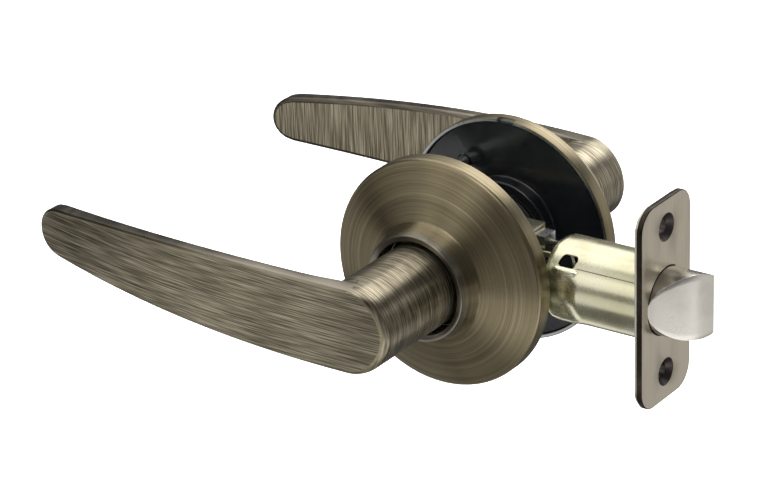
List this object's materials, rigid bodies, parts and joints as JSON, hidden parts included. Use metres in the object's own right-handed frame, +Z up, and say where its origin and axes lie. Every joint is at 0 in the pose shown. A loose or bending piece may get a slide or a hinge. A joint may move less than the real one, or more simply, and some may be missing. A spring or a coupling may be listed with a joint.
{
  "type": "door lever set",
  "caption": "Passage door lever set: two bowed levers on round rosettes, a square spindle and a tubular spring latch with a bevelled bolt.",
  "frame": {"origin": "where the spindle's axis meets the latch's axis, on the centre line of the door's cross bore", "axes": "+X along the latch towards the door's edge, -Y the exterior side, +Y the interior side, +Z up"},
  "size_m": [0.1776, 0.1254, 0.0644],
  "materials": {
    "antique_brass_lever": "brushed lengthwise, antiqued",
    "antique_brass_rosette": "brushed in circles, antiqued",
    "antique_brass_plate": "satin, dark edges",
    "pale_steel": "satin",
    "bolt_nickel": "satin nickel",
    "yellow_zinc": "yellow zinc plated, glossy",
    "zinc_plate": "zinc plated",
    "bright_steel": "bright zinc",
    "spring_steel": "oiled wire",
    "die_cast_zinc": "as cast",
    "black_liner": "gloss black",
    "black_oxide": "black oxide",
    "nylon": "natural nylon"
  },
  "bodies": {
    "latch_case": {"latch_tube": "yellow_zinc", "latch_faceplate": "antique_brass_plate", "latch_backplate": "pale_steel", "latch_case_exterior_side": "yellow_zinc", "latch_case_interior_side": "yellow_zinc", "case_rivets": "bright_steel"},
    "hub_cam": {"latch_hub": "die_cast_zinc"},
    "retractor": {"latch_retractor": "bright_steel"},
    "bolt": {"latch_bolt": "bolt_nickel", "bolt_spring": "spring_steel"},
    "exterior_half": {"exterior_rosette": "antique_brass_rosette", "exterior_mounting_plate": "zinc_plate", "exterior_spring_cage": "zinc_plate", "exterior_thrust_washer": "nylon", "exterior_return_spring": "spring_steel", "mounting_posts": "bright_steel"},
    "exterior_handle": {"exterior_lever": "antique_brass_lever", "exterior_lever_hub": "die_cast_zinc", "exterior_set_screw": "black_oxide", "exterior_retaining_ring": "spring_steel", "spindle": "bright_steel"},
    "interior_half": {"interior_rosette": "antique_brass_rosette", "interior_liner": "black_liner", "interior_spring_cage": "zinc_plate", "interior_thrust_washer": "nylon", "interior_return_spring": "spring_steel", "mounting_screws": "bright_steel"},
    "interior_handle": {"interior_lever": "antique_brass_lever", "interior_lever_hub": "die_cast_zinc", "interior_set_screw": "black_oxide", "interior_retaining_ring": "spring_steel"}
  },
  "joints": [
    {"name": "exterior_lever_turn", "type": "hinge", "parent": "exterior_half", "child": "exterior_handle", "pos_m": [0, -0.0118, 0], "axis": [0, -1, 0], "range_deg": [0, 60], "stiffness_Nm_per_rad": 0.8, "springref_deg": -51.57, "deforming": ["exterior_return_spring"]},
    {"name": "interior_lever_turn", "type": "hinge", "parent": "interior_half", "child": "interior_handle", "pos_m": [0, 0.0177, 0], "axis": [0, -1, 0], "range_deg": [0, 60], "deforming": ["interior_return_spring"]},
    {"name": "hub_turn", "type": "hinge", "parent": "latch_case", "child": "hub_cam", "pos_m": [0, 0, 0], "axis": [0, -1, 0], "range_deg": [0, 60]},
    {"name": "retractor_slide", "type": "slide", "parent": "latch_case", "child": "retractor", "axis": [-1, 0, 0], "range_m": [0, 0.0117]},
    {"name": "bolt_push", "type": "slide", "parent": "retractor", "child": "bolt", "axis": [-1, 0, 0], "range_m": [0, 0.0117], "stiffness_N_per_m": 350, "springref_m": -0.02, "deforming": ["bolt_spring"]},
    {"name": "exterior_half_slide", "type": "slide", "parent": "latch_case", "child": "exterior_half", "axis": [0, -1, 0], "range_m": [0, 0.0105]},
    {"name": "interior_half_slide", "type": "slide", "parent": "latch_case", "child": "interior_half", "axis": [0, 1, 0], "range_m": [0, 0.0046]}
  ],
  "couplings": [
    {"joint": "interior_lever_turn", "follows": "exterior_lever_turn", "ratio": 1},
    {"joint": "hub_turn", "follows": "exterior_lever_turn", "ratio": 1},
    {"joint": "retractor_slide", "follows": "exterior_lever_turn", "m_per_rad": 0.01117}
  ]
}
